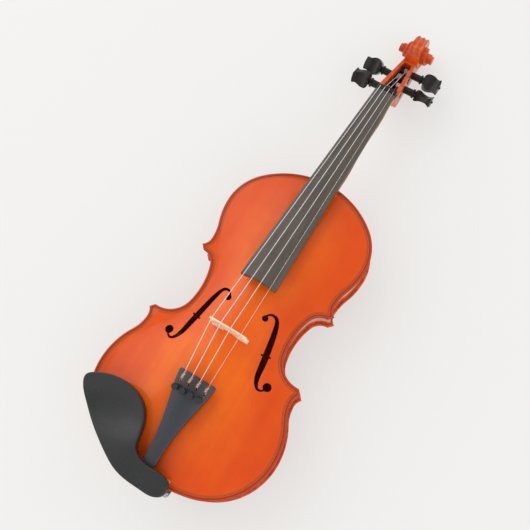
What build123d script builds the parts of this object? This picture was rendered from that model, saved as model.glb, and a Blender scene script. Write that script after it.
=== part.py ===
from build123d import *
import math
import os

# A full-size violin, in millimetres. +Y runs from the end button to the scroll, +X is the treble side
# and +Z rises out of the belly. The origin is the crown of the back's arch, straight under the bridge.

# ---- driving dimensions --------------------------------------------------------------------------
# body outline: half widths, and heights from the bottom edge, from the bridge or from the top edge
body_length = 356.0
stop_length = 195.0        # top edge of the body to the bridge
lower_half = 104.0         # half width of the lower bout
upper_half = 84.0
lower_shoulder_up = 76.0   # where the lower bout is widest
upper_shoulder_down = 67.0
lower_round = 72.0         # radius of the lower bout's rounding
upper_round = 56.0

# arching and thickness
back_depth = 15.0          # gluing side of the back to its crown
top_depth = 15.5
rib_height = 30.0
edge_thick = 4.0
edge_round = 1.4
bead_width = 3.0           # flat rim outside the channel
channel_thick = 3.4        # plate left under the channel
top_thick = 3.0
back_thick = 4.2
overhang = 2.7             # edge beyond the ribs
rib_thick = 1.1
lining_thick = 2.0
lining_height = 7.0
glue_land = 7.0            # edge to the hollow of a plate
purfling_inset = 4.2
purfling_width = 1.2
purfling_depth = 1.5

# blocks
end_block_width = 50.0
end_block_depth = 16.0
bar_width = 5.5            # bass bar
bar_height = 10.0
post_round = 6.2           # sound post

# neck and fingerboard
board_projection = 16.61   # crown of the bridge over the board's gluing plane, at the bridge
overstand = 6.5            # the gluing plane above the plate's edge, where the neck leaves the body
neck_length = 130.0        # body edge to nut
board_length = 270.0
board_end_width = 41.0
nut_width = 23.5
board_edge = 5.0
board_round = 42.0         # radius of the playing surface
board_rim = 4.0            # flat rim beside the hollow under the free end
scoop_deep = 4.2
neck_depth_nut = 12.3
neck_depth_heel = 13.6
heel_width = 21.0
root_depth = 9.0           # neck root let into the top block
nut_long = 5.5
nut_rise = 0.75            # nut above the board

# strings, from the bass side
names = ("g", "d", "a", "e")
string_width = {"g": 0.8, "d": 0.8, "a": 0.7, "e": 0.3}
bridge_spacing = 11.2
nut_spacing = 5.5
tail_spacing = 9.2
bridge_height = 33.0       # belly to crown
bridge_top_thick = 1.3
bridge_foot_thick = 4.5
string_play = 0.05         # string in its notch

# pegs: place along the head, depth below the board's plane, head side and resting turn
peg_along = {"g": 16.0, "e": 28.5, "d": 42.5, "a": 54.8}
peg_below = {"g": 13.7, "e": 16.4, "d": 19.4, "a": 22.0}
peg_side = {"g": -1, "d": -1, "a": 1, "e": 1}
peg_turn = {"g": 72.0, "d": 38.0, "a": 8.0, "e": -42.0}
peg_width = 7.4            # at the far cheek
peg_taper = 1 / 30
peg_fit = 0.05             # radial clearance of a turning pin or shank

# tailpiece and its four tuners
afterlength = 54.0         # bridge to the wide end of the tailpiece
tail_end_gap = 12.0        # narrow end to the body's edge
tail_end_up = 10.4         # top of the narrow end over the plate's edge
tail_solid = 18.0          # end of the tailpiece that stays solid, for the tailgut
tail_end_width = 41.0
tail_low_wide = 10.5       # crown of the arch to the lower edge, at the wide end
tail_low_narrow = 7.0
string_slope = 14.5        # afterlength of the strings, degrees
tail_wall = 2.2
tail_round = 45.0
tuner_back = 19.0          # screw behind the wide end
pivot_back = 7.0
pivot_below = 8.6
pivot_width = 1.6
screw_width = 2.4
knob_width = 6.6
knob_height = 5.0
knob_clear = 2.8           # knob over the tailpiece, at mid travel

# end button, tailgut and saddle
button_neck = 9.0
button_shank = 8.0
button_up = 30.0           # its axis over the crown of the back
button_head = 14.0
button_collar = 13.0
gut_width = 1.8
gut_nut_width = 3.8
saddle_width = 35.0
saddle_long = 7.5
saddle_height = 7.6

# chin rest
rest_floor = 10.4          # gluing plane of the top to the underside of the rest
post_spread = 20.0
post_back = 4.8            # posts behind the body's edge
barrel_width = 6.4
post_width = 3.4
cork_thick = 1.5
cork_width = 9.0
foot_thick = 1.8
foot_long = 19.0
foot_gap = 0.05            # foot cork under the back, when clamped
barrel_long = 22.0
post_grip = 8.0            # length of a post inside its barrel

# ---- places that follow from them ----------------------------------------------------------------
bottom = stop_length - body_length
back_glue = back_depth
top_glue = back_glue + rib_height
top_edge = top_glue + edge_thick
belly = top_glue + top_depth
bridge_top = belly + bridge_height
board_fall = (bridge_top - board_projection - top_edge - overstand) / stop_length
neck_angle = math.atan(board_fall)
nut_y = stop_length + neck_length
neck_plane = Plane(
    origin=(0, nut_y, top_edge + overstand - neck_length * board_fall),
    x_dir=(1, 0, 0),
    z_dir=(0, math.sin(neck_angle), math.cos(neck_angle)),
)


def at(half_width, up):
    """A point of the outline: half width, and height above the body's bottom edge."""
    return (half_width, bottom + up)


def below_top(half_width, down):
    """A point of the outline: half width, and distance below the body's top edge."""
    return (half_width, stop_length - down)


def between(start, end, share):
    return (start[0] + share * (end[0] - start[0]), start[1] + share * (end[1] - start[1]))


def crown_joint(wide, end, radius):
    """Where a bout's rounding meets the broad arc that closes the body at the centre line."""
    centre = (wide[0] - radius, wide[1])
    reach = abs(end[1] - centre[1])
    broad = (centre[0] ** 2 + reach ** 2 - radius ** 2) / (2 * (reach - radius))
    far_y = end[1] + math.copysign(broad, centre[1] - end[1])
    apart = math.hypot(centre[0], centre[1] - far_y)
    return (broad * centre[0] / apart, far_y + broad * (centre[1] - far_y) / apart)


# ---- outline ---------------------------------------------------------------------------------------
lower_wide = at(lower_half, lower_shoulder_up)
upper_wide = below_top(upper_half, upper_shoulder_down)
# the waist and its corners lie round the bridge, which is at y 0
lower_hollow = (87.6, -25)
lower_corner = ((91.3, -16), (87.0, -11))
waist_start = (84, -11)
waist_low = (57.6, 10.2)
waist_high = (60.7, 54.2)
upper_corner = ((75.7, 64.6), (80.6, 69.8))
upper_hollow = (75, 80)

with BuildSketch() as outline:
    with BuildLine() as half:
        low_end = TangentArc(at(0, 0), crown_joint(lower_wide, at(0, 0), lower_round), tangent=(1, 0))
        low_round = TangentArc(low_end @ 1, lower_wide, tangent=low_end % 1)
        low_turn = TangentArc(low_round @ 1, between(lower_wide, lower_hollow, 0.68), tangent=low_round % 1)
        low_back = TangentArc(low_turn @ 1, lower_hollow, tangent=low_turn % 1)
        low_flare = TangentArc(low_back @ 1, lower_corner[0], tangent=low_back % 1)
        low_tip = Line(low_flare @ 1, lower_corner[1])
        bay_start = Line(low_tip @ 1, waist_start)
        bay_low = TangentArc(bay_start @ 1, waist_low, tangent=bay_start % 1)
        bay = TangentArc(bay_low @ 1, waist_high, tangent=bay_low % 1)
        bay_high = TangentArc(bay @ 1, upper_corner[0], tangent=bay % 1)
        high_tip = Line(bay_high @ 1, upper_corner[1])
        high_flare = TangentArc(upper_hollow, high_tip @ 1, tangent=(0, -1))
        high_back = TangentArc(high_flare @ 0, between(upper_hollow, upper_wide, 0.411), tangent=(0, 1))
        high_turn = TangentArc(high_back @ 1, upper_wide, tangent=high_back % 1)
        high_round = TangentArc(
            high_turn @ 1, crown_joint(upper_wide, below_top(0, 0), upper_round), tangent=high_turn % 1
        )
        high_end = TangentArc(high_round @ 1, below_top(0, 0), tangent=high_round % 1)
    with BuildLine() as both:
        add(half.line)
        mirror(half.line, about=Plane.YZ)
    make_face(both.line.edges())


def inset(distance):
    """The outline moved inwards."""
    return offset(outline.sketch, amount=-distance, kind=Kind.INTERSECTION)


def slab(shape, low, high):
    """A flat shape, drawn at z 0, as a solid between two heights."""
    with BuildPart() as solid:
        with BuildSketch(Plane.XY.offset(low)):
            add(shape)
        extrude(amount=high - low)
    return solid.part


def ring(outside, inside, low, high):
    """A band that follows the outline between two insets and two heights."""
    with BuildPart() as band:
        add(slab(inset(outside), low, high))
        add(slab(inset(inside), low, high), mode=Mode.SUBTRACT)
    return band.part


# ---- arching ---------------------------------------------------------------------------------------
# The arched area stops at the channel and passes the corners in a smooth line.
channel_end = 7.0
bout_low = at(lower_half - channel_end, lower_shoulder_up)
waist = (47.5, 29)
bout_high = below_top(upper_half - channel_end, upper_shoulder_down)
with BuildLine():
    arch_1 = TangentArc(at(0, channel_end), at(48, 12.8), tangent=(1, 0))
    arch_2 = TangentArc(arch_1 @ 1, bout_low, tangent=arch_1 % 1)
    arch_3 = TangentArc(arch_2 @ 1, between(bout_low, waist, 0.5), tangent=(0, 1))
    arch_4 = TangentArc(arch_3 @ 1, waist, tangent=arch_3 % 1)
    arch_5 = TangentArc(arch_4 @ 1, between(waist, bout_high, 0.5), tangent=(0, 1))
    arch_6 = TangentArc(arch_5 @ 1, bout_high, tangent=arch_5 % 1)
    arch_7 = TangentArc(arch_6 @ 1, below_top(60.5, 30.5), tangent=(0, 1))
    arch_8 = TangentArc(arch_7 @ 1, below_top(0, channel_end), tangent=arch_7 % 1)
arch_arcs = (arch_1, arch_2, arch_3, arch_4, arch_5, arch_6, arch_7, arch_8)
arch_line = [tuple(arc @ (step / 40))[:2] for arc in arch_arcs for step in range(41)]


def arch_half(y):
    """Half the width of the arched area at a height of the outline."""
    for (x0, y0), (x1, y1) in zip(arch_line, arch_line[1:]):
        if y0 <= y <= y1 and y1 > y0:
            return x0 + (x1 - x0) * (y - y0) / (y1 - y0)
    return 0.0


def swell(share, fullness):
    """A smooth hump: 1 on the crown, 0 at the edge, fuller with a higher second value."""
    return 0.5 * (1 + math.cos(math.pi * min(1.0, abs(share)) ** fullness))


def rise(x, y):
    """The arching at a point, as a share of its height on the crown."""
    half_width = arch_half(y)
    if half_width <= 0:
        return 0.0
    middle = bottom + body_length / 2
    along = (y - middle) / (body_length / 2 - channel_end)
    return swell(along, 2.6) * swell(x / half_width, 1.25)


def beyond_arch(level, crown):
    """All the space past an arched face that has its edge at one height and its crown at the other."""
    columns, rows = 19, 33
    reach = lower_half + 2
    grid = [
        [(x, y, level + (crown - level) * rise(x, y)) for y in
         (bottom - 2 + (body_length + 4) * row / (rows - 1) for row in range(rows))]
        for x in (-reach + 2 * reach * column / (columns - 1) for column in range(columns))
    ]
    face = Face.make_surface_from_array_of_points(grid, tol=0.05)
    return Solid.extrude(face, Vector(0, 0, math.copysign(40, crown - level)))


above_top = beyond_arch(top_glue + channel_thick, belly)
above_top_inside = beyond_arch(top_glue + 0.4, belly - top_thick)
below_back = beyond_arch(back_glue - channel_thick, 0)
below_back_inside = beyond_arch(back_glue - 0.6, back_thick)

# ---- blocks, as flat shapes ------------------------------------------------------------------------
rib_inside = inset(overhang + rib_thick)
rib_low = bottom + overhang
rib_high = stop_length - overhang
with BuildSketch() as top_block_shape:
    add(rib_inside)
    with Locations((0, rib_high)):
        Rectangle(end_block_width, 2 * (end_block_depth + rib_thick), mode=Mode.INTERSECT)
with BuildSketch() as bottom_block_shape:
    add(rib_inside)
    with Locations((0, rib_low)):
        Rectangle(end_block_width, 2 * (end_block_depth + rib_thick), mode=Mode.INTERSECT)
with BuildSketch() as corner_block_shape:
    add(rib_inside)
    with BuildSketch(mode=Mode.PRIVATE) as corner_areas:
        for side in (-1, 1):
            with Locations(Location((side * 86, -15), side * 38)):
                Rectangle(30, 26)
            with Locations(Location((side * 76.5, 67), side * -42)):
                Rectangle(28, 26)
    add(corner_areas.sketch, mode=Mode.INTERSECT)
with BuildSketch() as hollow_shape:
    add(inset(glue_land))
    add(top_block_shape.sketch, mode=Mode.SUBTRACT)
    add(bottom_block_shape.sketch, mode=Mode.SUBTRACT)
    add(corner_block_shape.sketch, mode=Mode.SUBTRACT)
rib_ring = ring(overhang, overhang + rib_thick, back_glue, top_glue)

# ---- neck and scroll -------------------------------------------------------------------------------
# Side view places are (along towards the scroll, height over the board's underside).
side_plane = Plane(origin=neck_plane.origin, x_dir=neck_plane.y_dir, z_dir=neck_plane.x_dir)
root_back = stop_length - root_depth
heel_front = stop_length + heel_width / 2 - 1


def in_neck(along, height):
    """A side view place on the centre plane, in the violin's own frame."""
    return neck_plane.from_local_coords(Vector(0, along, height))


def width_at(along):
    """Width of neck and board, from the nut towards the bridge."""
    return nut_width - along / board_length * (board_end_width - nut_width)


def handle_section(top_point, back_point, width):
    """A D section: flat under the board or in the root, round in the player's hand."""
    inward = back_point - top_point
    depth = inward.length
    straight = 0.2 * depth
    x_way = Vector(1, 0, 0)
    with BuildSketch(Plane(origin=top_point, x_dir=x_way, z_dir=x_way.cross(inward))) as section:
        with BuildLine():
            Polyline((-width / 2, straight), (-width / 2, 0), (width / 2, 0), (width / 2, straight))
            EllipticalCenterArc((0, straight), width / 2, depth - straight, start_angle=0, arc_size=180)
        make_face()
    return section.sketch


handle_sections = (
    (Vector(0, root_back - 2, back_glue), Vector(0, heel_front, back_glue), heel_width),
    (Vector(0, root_back - 2, back_glue + 15), Vector(0, heel_front + 1.4, back_glue + 11), 25.0),
    (Vector(0, root_back - 3, back_glue + 37), Vector(0, heel_front + 6.5, back_glue + 19.5), 29.5),
    (in_neck(-122, 1.5), in_neck(-108, -neck_depth_heel - 0.8), 32.0),
    (in_neck(-98, 1.5), in_neck(-95, -neck_depth_heel), width_at(-98)),
    (in_neck(-55, 1.5), in_neck(-55, -(neck_depth_heel + neck_depth_nut) / 2), width_at(-55)),
    (in_neck(-16, 1.5), in_neck(-16, -neck_depth_nut), width_at(-16)),
    (in_neck(-6, 1.5), in_neck(-3.5, -14.8), nut_width + 0.2),
    (in_neck(-1.5, 1.5), in_neck(7.0, -25.0), nut_width + 1.0),
)

# The head: pegbox walls, then a volute that narrows and widens as it winds.
box_start = 9.0            # pegbox hollow, along the head
box_end = 60.5
front_drop = 1.0           # cheek edges below the board's plane, behind the nut
front_slope = 0.2123
chin = (7.0, -25.5)
eye = (83.0, -19.0)
turn_radius = 25.0
turn_ratio = 0.867         # radius after each quarter turn
turn_half = 6.6            # half width of the outer turn
ear_half = 20.6            # half width over the eyes
eye_radius = 5.0
turn_edge = 1.2            # bevel along the volute's edges
turn_lap = 1.5             # each turn reaches this far under the next
core_radius = 3.0
last_quarter = 10.4
flute_depth = 1.1          # two flutes run down the back of the head, with a ridge between them
flute_end = 3.2            # they end in the throat
ridge_half = 0.35


def spiral_radius(quarter):
    return turn_radius * turn_ratio**quarter


def spiral_half(quarter):
    """Half width of the volute: steady over the crown, then growing towards the eyes."""
    return turn_half + (ear_half - turn_half) * (max(0.0, quarter - 1) / (last_quarter - 1)) ** 1.2


def volute_section(quarter, fluted):
    """A slice of one turn, with its outer edges eased, reaching in under the next turn."""
    angle = math.radians(90 * quarter - 90)
    outwards = neck_plane.y_dir * math.cos(angle) + neck_plane.z_dir * math.sin(angle)
    slice_plane = Plane(origin=in_neck(*eye), x_dir=outwards, z_dir=outwards.cross(neck_plane.x_dir))
    radius = spiral_radius(quarter)
    inner_radius = max(core_radius, spiral_radius(quarter + 4) - turn_lap)
    half_width = spiral_half(quarter)
    face_half = half_width - turn_edge
    with BuildSketch(slice_plane) as section:
        with BuildLine():
            Polyline(
                (radius, -face_half), (radius - turn_edge, -half_width), (inner_radius, -half_width),
                (inner_radius, half_width), (radius - turn_edge, half_width), (radius, face_half),
            )
            if fluted:
                middle = (face_half + ridge_half) / 2
                ThreePointArc((radius, face_half), (radius - flute_depth, middle), (radius, ridge_half))
                Line((radius, ridge_half), (radius, -ridge_half))
                ThreePointArc((radius, -ridge_half), (radius - flute_depth, -middle), (radius, -face_half))
            else:
                Line((radius, face_half), (radius, -face_half))
        make_face()
    return section.sketch


cheek_outside = (13.0, 8.6)
cheek_inside = (8.2, 5.0)


def cheek_outer(along):
    """Half width over the pegbox's cheeks, along the head."""
    at_nut, at_end = cheek_outside
    return at_nut + (along - box_start) / (box_end - box_start) * (at_end - at_nut)


def cheek_front(along):
    """Side view height of the cheeks' front edges."""
    return -front_drop - front_slope * (along - nut_long)


def is_back_corner(edge):
    """True for the long edges between the pegbox's back and its cheeks."""
    across, along, height = neck_plane.to_local_coords(edge.center())
    return abs(across) > 5 and along > 8 and height < -25 and edge.length > 15


head_halves = (
    (-4, 12.2), (box_start, cheek_outside[0]), (34, 10.9), (box_end, cheek_outside[1]), (83, turn_half),
)
back_line = Spline(
    (eye[0], eye[1] - turn_radius), (60, -41.9), (45, -37.2), (25, -30.3), chin,
    tangents=((-1, 0), (-1, 0.1)),
)


def head_half(along):
    """Half width of the head, along it."""
    for (start, at_start), (end, at_end) in zip(head_halves, head_halves[1:]):
        if along <= end:
            return at_start + (at_end - at_start) * (along - start) / (end - start)
    return turn_half


def back_flute(side):
    """What one flute takes out of the pegbox's back, from the volute to the chin."""
    slices = []
    for share, depth in ((0, flute_depth), (0.3, flute_depth), (0.6, flute_depth), (0.82, 0.8), (0.97, 0.2)):
        place = back_line @ share
        way = back_line % share
        slice_plane = Plane(
            origin=side_plane.from_local_coords(place), x_dir=(1, 0, 0),
            z_dir=neck_plane.y_dir * way.X + neck_plane.z_dir * way.Y,
        )
        far = head_half(place.X) - turn_edge - 1.0 * share
        with BuildSketch(slice_plane) as one_slice:
            with BuildLine():
                ThreePointArc(
                    (side * ridge_half, 0), (side * (ridge_half + far) / 2, depth), (side * far, 0)
                )
                Polyline((side * far, 0), (side * far, -2), (side * ridge_half, -2), (side * ridge_half, 0))
            make_face()
        slices.append(one_slice.sketch)
    return loft(slices)


back_flutes = [back_flute(side) for side in (-1, 1)]

with BuildPart() as head:
    with BuildSketch(side_plane):
        with BuildLine():
            add(back_line)
            Polyline(
                chin, (-1.2, 0), (nut_long, 0), (nut_long, -front_drop), (62, cheek_front(62)),
                (70, -16), eye, (eye[0], eye[1] - turn_radius),
            )
        make_face()
    extrude(amount=20, both=True)
    with BuildSketch(neck_plane):
        with BuildLine():
            cheek_line = Spline(*[(half_width, along) for along, half_width in head_halves])
            Polyline(cheek_line @ 0, (0, -4), (0, 83), cheek_line @ 1)
        make_face()
        mirror(about=Plane.YZ)
    extrude(amount=60, both=True, mode=Mode.INTERSECT)
    back_corners = head.edges().filter_by(is_back_corner)
    fillet(back_corners, 1.6)

with BuildPart() as box_hollow:
    with BuildSketch(side_plane):
        Polygon(
            (box_start, 4), (box_end, 4), (box_end, -33.8), (45, -29.0), (25, -22.2), (11.5, -18.2),
            (box_start, -16), align=None,
        )
    extrude(amount=20, both=True)
    with BuildSketch(neck_plane):
        Polygon(
            (-cheek_inside[0], box_start), (cheek_inside[0], box_start),
            (cheek_inside[1], box_end), (-cheek_inside[1], box_end), align=None,
        )
    extrude(amount=60, both=True, mode=Mode.INTERSECT)


def volute_stretch(start, end):
    """A stretch of the volute, lofted through slices that stand round the eye."""
    quarters = [start + (end - start) * index / 4 for index in range(5)]
    return loft([volute_section(quarter, end <= flute_end) for quarter in quarters])


stretch_ends = (0, flute_end / 2, flute_end, 4.8, 6.4, 8.0, 9.2, last_quarter)
stretches = [volute_stretch(start, end) for start, end in zip(stretch_ends, stretch_ends[1:])]
handle = loft([handle_section(*section) for section in handle_sections])

with BuildPart() as neck:
    add(handle)
    split(bisect_by=neck_plane, keep=Keep.BOTTOM)
    split(bisect_by=Plane.XZ.offset(-root_back), keep=Keep.BOTTOM)
    split(bisect_by=Plane.XY.offset(back_glue), keep=Keep.TOP)
neck_root = neck.part

# ---- sound holes -----------------------------------------------------------------------------------
# Centre line and half widths of a stem, from the upper eye to the lower one, on the treble side.
hole_upper_eye = (22.0, 32.0, 3.2)
hole_lower_eye = (59.0, -26.0, 4.5)
hole_stem = (
    (22.0, 33.8, 1.2), (24.6, 38.1, 1.1), (30.2, 38.8, 1.7), (35.2, 31.5, 2.4), (38.5, 18.0, 3.0),
    (41.5, 2.0, 3.3), (44.0, -13.0, 3.1), (46.8, -26.0, 2.3), (52.0, -32.6, 1.3), (58.4, -29.4, 1.0),
)


def stem_side(way):
    """One edge of the stem: its centre line moved sideways by the half width."""
    line = [Vector(x, y) for x, y, half_width in hole_stem]
    edge = []
    for index, (x, y, half_width) in enumerate(hole_stem):
        ahead = line[min(index + 1, len(line) - 1)] - line[max(index - 1, 0)]
        across = Vector(-ahead.Y, ahead.X).normalized()
        edge.append(line[index] + across * (way * half_width))
    return edge


with BuildSketch() as sound_hole:
    with BuildLine():
        inner_edge = Spline(*stem_side(1))
        outer_edge = Spline(*stem_side(-1))
        Line(inner_edge @ 0, outer_edge @ 0)
        Line(inner_edge @ 1, outer_edge @ 1)
    make_face()
    with Locations(hole_upper_eye[:2]):
        Circle(hole_upper_eye[2])
    with Locations(hole_lower_eye[:2]):
        Circle(hole_lower_eye[2])
    with Locations(Location((41.8, 0, 0), 12)):
        Polygon((-5.2, -1.1), (-5.2, 1.1), (0, 0), (5.2, 1.1), (5.2, -1.1), align=None)

# ---- top -------------------------------------------------------------------------------------------
with BuildPart() as top_dome:
    add(slab(inset(bead_width), top_glue, belly + 1))
    add(above_top, mode=Mode.INTERSECT)
with BuildPart() as top_hollow:
    add(slab(hollow_shape.sketch, top_glue, belly))
    add(above_top_inside, mode=Mode.SUBTRACT)
with BuildPart() as top_blank:
    with BuildSketch(Plane.XY.offset(top_glue)):
        add(outline.sketch)
    extrude(amount=edge_thick)
    fillet(top_blank.edges().group_by(Axis.Z)[0] + top_blank.edges().group_by(Axis.Z)[-1], edge_round)
    with BuildSketch(Plane.XY.offset(top_glue)):
        add(inset(bead_width))
    extrude(amount=belly - top_glue + 1)
    add(top_dome.part, mode=Mode.SUBTRACT)
    add(top_hollow.part, mode=Mode.SUBTRACT)
    with BuildSketch(Plane.XY.offset(top_glue)):
        add(sound_hole.sketch)
        mirror(sound_hole.sketch, about=Plane.YZ)
    extrude(amount=belly - top_glue + 1, mode=Mode.SUBTRACT)
    with Locations((0, bottom, top_glue)):
        Box(saddle_width, 2 * saddle_long, 3 * edge_thick, mode=Mode.SUBTRACT)
    add(neck_root, mode=Mode.SUBTRACT)

# ---- back, with its button under the heel ----------------------------------------------------------
with BuildPart() as back_dome:
    add(slab(inset(bead_width), -1, back_glue))
    add(below_back, mode=Mode.INTERSECT)
with BuildPart() as back_hollow:
    add(slab(hollow_shape.sketch, 0, back_glue))
    add(below_back_inside, mode=Mode.SUBTRACT)
with BuildPart() as back_blank:
    with BuildSketch(Plane.XY.offset(back_glue)):
        add(outline.sketch)
        with Locations((0, stop_length - 1)):
            Circle(heel_width / 2)
    extrude(amount=-edge_thick)
    fillet(back_blank.edges().filter_by(Axis.Z).filter_by_position(Axis.X, -15, 15), 2 * edge_round)
    fillet(back_blank.edges().group_by(Axis.Z)[0] + back_blank.edges().group_by(Axis.Z)[-1], edge_round)
    with BuildSketch(Plane.XY.offset(back_glue)):
        add(inset(bead_width))
    extrude(amount=-back_glue - 1)
    add(back_dome.part, mode=Mode.SUBTRACT)
    add(back_hollow.part, mode=Mode.SUBTRACT)

# ---- purfling, let into both plates ----------------------------------------------------------------
purfling_end = purfling_inset + purfling_width
top_groove = ring(purfling_inset, purfling_end, top_edge - purfling_depth, belly)
back_groove = ring(purfling_inset, purfling_end, 0, back_glue - edge_thick + purfling_depth)
with BuildPart() as top_plate:
    add(top_blank.part)
    add(top_groove, mode=Mode.SUBTRACT)
with BuildPart() as purfling:
    add(top_blank.part)
    add(back_blank.part)
    add([top_groove, back_groove], mode=Mode.INTERSECT)
with BuildPart() as back_plate:
    add(back_blank.part)
    add(back_groove, mode=Mode.SUBTRACT)

# ---- ribs, each bent strip apart -------------------------------------------------------------------
low_joint = (lower_corner[0][1] + lower_corner[1][1]) / 2
high_joint = (upper_corner[0][1] + upper_corner[1][1]) / 2
rib_spans = {
    "lower": (bottom, low_joint),
    "middle": (low_joint, high_joint),
    "upper": (high_joint, stop_length),
}
with BuildPart() as shank_hole:
    with Locations(Location((0, bottom, button_up), (90, 0, 0))):
        Cylinder(button_shank / 2, 4 * end_block_depth)
ribs = []
for bout, (y_low, y_high) in rib_spans.items():
    for hand, side in (("bass", -1), ("treble", 1)):
        with BuildPart() as rib:
            add(rib_ring)
            with Locations((side * lower_half, (y_low + y_high) / 2, top_glue / 2)):
                Box(2 * lower_half, y_high - y_low, 2 * top_glue, mode=Mode.INTERSECT)
            add(neck_root, mode=Mode.SUBTRACT)
            add(shank_hole.part, mode=Mode.SUBTRACT)
        rib.part.label = f"rib_{bout}_{hand}"
        ribs.append(rib.part)

# ---- blocks ----------------------------------------------------------------------------------------
with BuildPart() as top_block:
    add(slab(top_block_shape.sketch, back_glue, top_glue))
    add(neck_root, mode=Mode.SUBTRACT)
with BuildPart() as bottom_block:
    add(slab(bottom_block_shape.sketch, back_glue, top_glue))
    add(shank_hole.part, mode=Mode.SUBTRACT)
with BuildPart() as corner_blocks:
    add(slab(corner_block_shape.sketch, back_glue, top_glue))

# ---- linings, in six strips along each plate -------------------------------------------------------
with BuildPart() as all_blocks:
    for shape in (top_block_shape, bottom_block_shape, corner_block_shape):
        add(slab(shape.sketch, back_glue, top_glue))


def lining_set(low, high):
    """Strips inside the ribs, from block to block."""
    with BuildPart() as strips:
        add(ring(overhang + rib_thick, overhang + rib_thick + lining_thick, low, high))
        add(all_blocks.part, mode=Mode.SUBTRACT)
    return strips


top_linings = lining_set(top_glue - lining_height, top_glue)
back_linings = lining_set(back_glue, back_glue + lining_height)
with BuildPart() as linings:
    add(top_linings.part)
    add(back_linings.part)

# ---- bass bar and sound post -----------------------------------------------------------------------
bar_across = -17.0
bar_half_length = 135.0
with BuildPart() as bass_bar:
    with BuildSketch(Plane.YZ.offset(bar_across - bar_width / 2)):
        with BuildLine():
            ThreePointArc(
                (-bar_half_length + 10, top_glue + 0.5), (10, belly - top_thick - bar_height),
                (bar_half_length + 10, top_glue + 0.5),
            )
            Polyline(
                (bar_half_length + 10, top_glue + 0.5), (bar_half_length + 10, belly),
                (-bar_half_length + 10, belly), (-bar_half_length + 10, top_glue + 0.5),
            )
        make_face()
    extrude(amount=bar_width)
    add(above_top_inside, mode=Mode.SUBTRACT)
with BuildPart() as sound_post:
    with BuildSketch(Plane.XY):
        with Locations((20, -5)):
            Circle(post_round / 2)
    extrude(amount=belly)
    add(above_top_inside, mode=Mode.SUBTRACT)
    add(below_back_inside, mode=Mode.SUBTRACT)

# ---- fingerboard and nut ---------------------------------------------------------------------------


def board_section(along, width, height, radius):
    """A slice of the fingerboard: flat below, arched above."""
    half_width = width / 2
    crown = height + radius - math.sqrt(radius**2 - half_width**2)
    with BuildSketch(Plane(origin=in_neck(along, 0), x_dir=(1, 0, 0), z_dir=neck_plane.y_dir)) as section:
        with BuildLine():
            Polyline((-half_width, -height), (-half_width, 0), (half_width, 0), (half_width, -height))
            ThreePointArc((-half_width, -height), (0, -crown), (half_width, -height))
        make_face()
    return section.sketch


def scoop_section(along, width, depth):
    """A slice of the hollow under the free end of the board."""
    with BuildSketch(Plane(origin=in_neck(along, 0), x_dir=(1, 0, 0), z_dir=neck_plane.y_dir)) as section:
        with BuildLine():
            ThreePointArc((-width / 2, 0), (0, -depth), (width / 2, 0))
            Polyline((width / 2, 0), (width / 2, 2), (-width / 2, 2), (-width / 2, 0))
        make_face()
    return section.sketch


scoop_start = board_length + 0.5
scoop_end = neck_length + 26
with BuildPart() as fingerboard:
    loft([
        board_section(-board_length, board_end_width, board_edge, board_round),
        board_section(0, nut_width, board_edge, board_round),
    ])
    fillet(fingerboard.edges().filter_by(GeomType.CIRCLE), 0.6)
    loft([
        scoop_section(-scoop_start, board_end_width - 2 * board_rim, scoop_deep),
        scoop_section(-scoop_end, nut_width, 1.0),
    ], mode=Mode.SUBTRACT)
with BuildPart() as nut:
    loft([
        board_section(0, nut_width, board_edge + nut_rise, board_round + nut_rise),
        board_section(nut_long, nut_width + 0.3, board_edge + nut_rise, board_round + nut_rise),
    ])

# ---- bridge ----------------------------------------------------------------------------------------
crown_centre = bridge_top - board_round
with BuildPart() as bridge:
    with BuildSketch(Plane.XZ):
        with BuildLine() as bridge_half:
            crown = ThreePointArc(
                (0, bridge_top), (10, crown_centre + math.sqrt(board_round**2 - 100)),
                (19, crown_centre + math.sqrt(board_round**2 - 361)),
            )
            shoulder = Spline(
                crown @ 1, (19.6, bridge_top - 7), (17.4, bridge_top - 11), (16.6, bridge_top - 14.5)
            )
            wing = Spline(
                shoulder @ 1, (18.0, bridge_top - 15.6), (20.4, bridge_top - 18.2),
                (18.6, bridge_top - 22.5), (15.2, bridge_top - 24.5),
            )
            ankle = Spline(
                wing @ 1, (14.6, bridge_top - 27), (16.5, bridge_top - 29.3), (20.5, bridge_top - 31.4)
            )
            Polyline(ankle @ 1, (20.5, belly - 8), (7.6, belly - 8), (7.6, bridge_top - 28.5))
            ThreePointArc((7.6, bridge_top - 28.5), (5.0, bridge_top - 24.4), (0, bridge_top - 23.0))
            Line((0, bridge_top - 23.0), (0, bridge_top))
        make_face()
        mirror(about=Plane.YZ)
        with Locations((0, bridge_top - 13.4)):
            Ellipse(3.4, 3.0, mode=Mode.SUBTRACT)
        with BuildLine() as heart_point:
            Polyline(
                (-2.9, bridge_top - 14.6), (0, bridge_top - 19.2), (2.9, bridge_top - 14.6), close=True
            )
        make_face(mode=Mode.SUBTRACT)
        with Locations((12.6, bridge_top - 17.6), (-12.6, bridge_top - 17.6)):
            Ellipse(3.2, 2.1, mode=Mode.SUBTRACT)
        with Locations((16.5, bridge_top - 17.0), (-16.5, bridge_top - 17.0)):
            Rectangle(4.5, 1.0, mode=Mode.SUBTRACT)
    extrude(amount=10, both=True)
    with BuildSketch(Plane.YZ):
        Polygon(
            (-bridge_top_thick / 2, bridge_top + 1), (bridge_top_thick / 2, bridge_top + 1),
            (bridge_foot_thick * 0.62, (belly + bridge_top) / 2),
            (bridge_foot_thick - bridge_top_thick / 2, belly - 9), (-bridge_top_thick / 2, belly - 9),
            align=None,
        )
    extrude(amount=30, both=True, mode=Mode.INTERSECT)
    add(above_top, mode=Mode.INTERSECT)

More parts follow.
